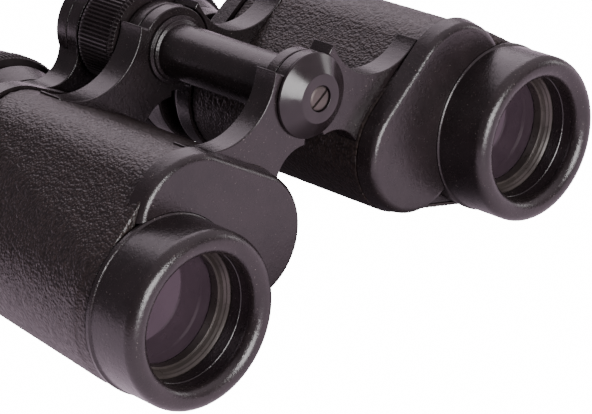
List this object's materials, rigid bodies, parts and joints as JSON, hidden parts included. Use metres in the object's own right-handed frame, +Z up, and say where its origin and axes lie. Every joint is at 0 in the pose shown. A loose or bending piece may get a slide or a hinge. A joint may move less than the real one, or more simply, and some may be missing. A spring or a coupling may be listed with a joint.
{
  "type": "binoculars",
  "caption": "Hand-held porro-prism binoculars with leatherette-covered offset barrels, a centre hinge, a knurled focus wheel and bridge-mounted eyepieces.",
  "frame": {"origin": "on the floor under the middle of the part, where the objective tubes' lowest points rest, with the hinge axis straight above", "axes": "+Z up, +Y from the objectives back to the eyepieces along the hinge axis, +X across to the user's left barrel; the root barrel, the user's right, is at -X"},
  "size_m": [0.151, 0.116, 0.0617],
  "materials": {
    "black_enamel": "satin to semi-gloss black enamel with a fine orange-peel grain",
    "leatherette": "glossy black pebbled leatherette",
    "anodised_black": "glossy black anodised",
    "blackened_alloy": "matt black anodised",
    "wheel_black": "black, finely knurled",
    "grey_ring": "warm grey, fine turned lines",
    "steel": "turned steel",
    "screw_steel": "dull grey screw head",
    "brass": "plain turned brass",
    "coated_glass": "polished, single-layer coated with a faint violet reflection",
    "glass": "polished clear optical glass",
    "black_plastic": "matt black hard plastic"
  },
  "bodies": {
    "right_barrel": {"right_body_casting": "black_enamel", "right_leatherette": "leatherette", "right_front_cover": "black_enamel", "right_rear_cover": "black_enamel", "right_strap_lug": "steel", "right_prism_shelf": "blackened_alloy", "right_front_prism": "glass", "right_front_prism_clip": "brass", "right_rear_prism": "glass", "right_rear_prism_clip": "brass", "right_objective_tube": "black_enamel", "right_objective_retaining_ring": "grey_ring", "right_objective_cell": "blackened_alloy", "right_crown_lens": "coated_glass", "right_flint_lens": "glass", "right_eyepiece_sleeve": "blackened_alloy", "hinge_axle": "steel", "hinge_tube": "black_enamel", "hinge_cap": "anodised_black", "hinge_cap_screw": "screw_steel"},
    "left_barrel": {"left_body_casting": "black_enamel", "left_leatherette": "leatherette", "left_front_cover": "black_enamel", "left_rear_cover": "black_enamel", "left_strap_lug": "steel", "left_prism_shelf": "blackened_alloy", "left_front_prism": "glass", "left_front_prism_clip": "brass", "left_rear_prism": "glass", "left_rear_prism_clip": "brass", "left_objective_tube": "black_enamel", "left_objective_retaining_ring": "grey_ring", "left_objective_cell": "blackened_alloy", "left_crown_lens": "coated_glass", "left_flint_lens": "glass", "left_eyepiece_sleeve": "blackened_alloy"},
    "focus_wheel": {"focus_wheel": "wheel_black"},
    "right_eyepiece": {"right_bridge_arm": "black_enamel", "right_ocular_tube": "blackened_alloy", "right_eyepiece_skirt": "black_enamel", "focus_spindle": "brass", "bridge_cap": "anodised_black"},
    "left_eyepiece": {"left_bridge_arm": "black_enamel", "left_ocular_tube": "blackened_alloy", "left_eyepiece_skirt": "black_enamel", "left_lens_barrel": "blackened_alloy", "left_field_lens": "glass", "left_eye_lens": "coated_glass", "left_eyecup": "black_plastic", "left_eyepiece_ring": "black_plastic"},
    "right_ocular": {"right_lens_barrel": "blackened_alloy", "right_field_lens": "glass", "right_eye_lens": "coated_glass", "right_eyecup": "black_plastic"},
    "diopter_ring": {"diopter_ring": "black_plastic"}
  },
  "joints": [
    {"name": "interpupillary_hinge", "type": "hinge", "parent": "right_barrel", "child": "left_barrel", "pos_m": [0, 0, 0.04843], "axis": [0, -1, 0], "range_deg": [-6, 78]},
    {"name": "right_bridge_slide", "type": "slide", "parent": "right_barrel", "child": "right_eyepiece", "axis": [0, 1, 0], "range_m": [-0.0009, 0.0069]},
    {"name": "left_bridge_slide", "type": "slide", "parent": "left_barrel", "child": "left_eyepiece", "axis": [0, 1, 0], "range_m": [-0.0009, 0.0069]},
    {"name": "focus_wheel_turn", "type": "hinge", "parent": "right_barrel", "child": "focus_wheel", "pos_m": [0, 0, 0.04843], "axis": [0, 1, 0], "range_deg": [-45, 345]},
    {"name": "diopter_travel", "type": "slide", "parent": "right_eyepiece", "child": "right_ocular", "axis": [0, 1, 0], "range_m": [-0.001, 0.001]},
    {"name": "diopter_turn", "type": "hinge", "parent": "right_ocular", "child": "diopter_ring", "pos_m": [-0.027, 0, 0.02483], "axis": [0, 1, 0], "range_deg": [-60, 60]}
  ],
  "couplings": [
    {"joint": "focus_wheel_turn", "follows": "right_bridge_slide", "rad_per_m": 872.66},
    {"joint": "left_bridge_slide", "follows": "right_bridge_slide", "ratio": 1},
    {"joint": "diopter_turn", "follows": "diopter_travel", "rad_per_m": 1047.2}
  ]
}
